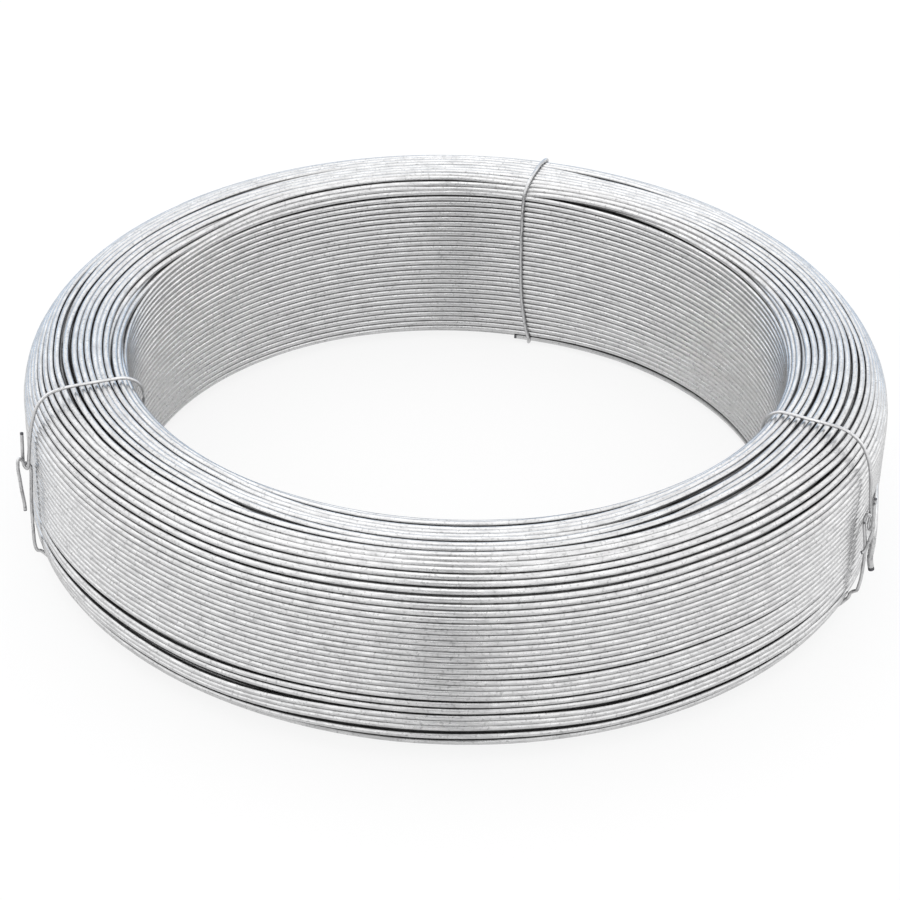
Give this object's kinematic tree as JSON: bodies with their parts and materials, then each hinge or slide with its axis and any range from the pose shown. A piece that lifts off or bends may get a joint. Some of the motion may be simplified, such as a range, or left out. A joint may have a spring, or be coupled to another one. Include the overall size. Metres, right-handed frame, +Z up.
{
  "type": "coil of binding wire",
  "caption": "Ring-shaped coil of galvanised steel binding wire, its turns held by thin tie wires hooked round the ring",
  "frame": {"origin": "on the coil's axis, at the level of the floor that the tie wires rest on", "axes": "+Z up along the coil's axis; the right tie wire is near +X, turned 26 degrees towards -Y"},
  "size_m": [0.224, 0.2255, 0.0542],
  "materials": {
    "coiled_wire": "bright galvanised, with a fine zinc mottle",
    "tie_wire": "bright galvanised, a little duller"
  },
  "bodies": {
    "root": {"wire_coil": "coiled_wire", "tie_wire_left": "tie_wire", "tie_wire_right": "tie_wire", "tie_wire_back": "tie_wire"}
  },
  "joints": []
}
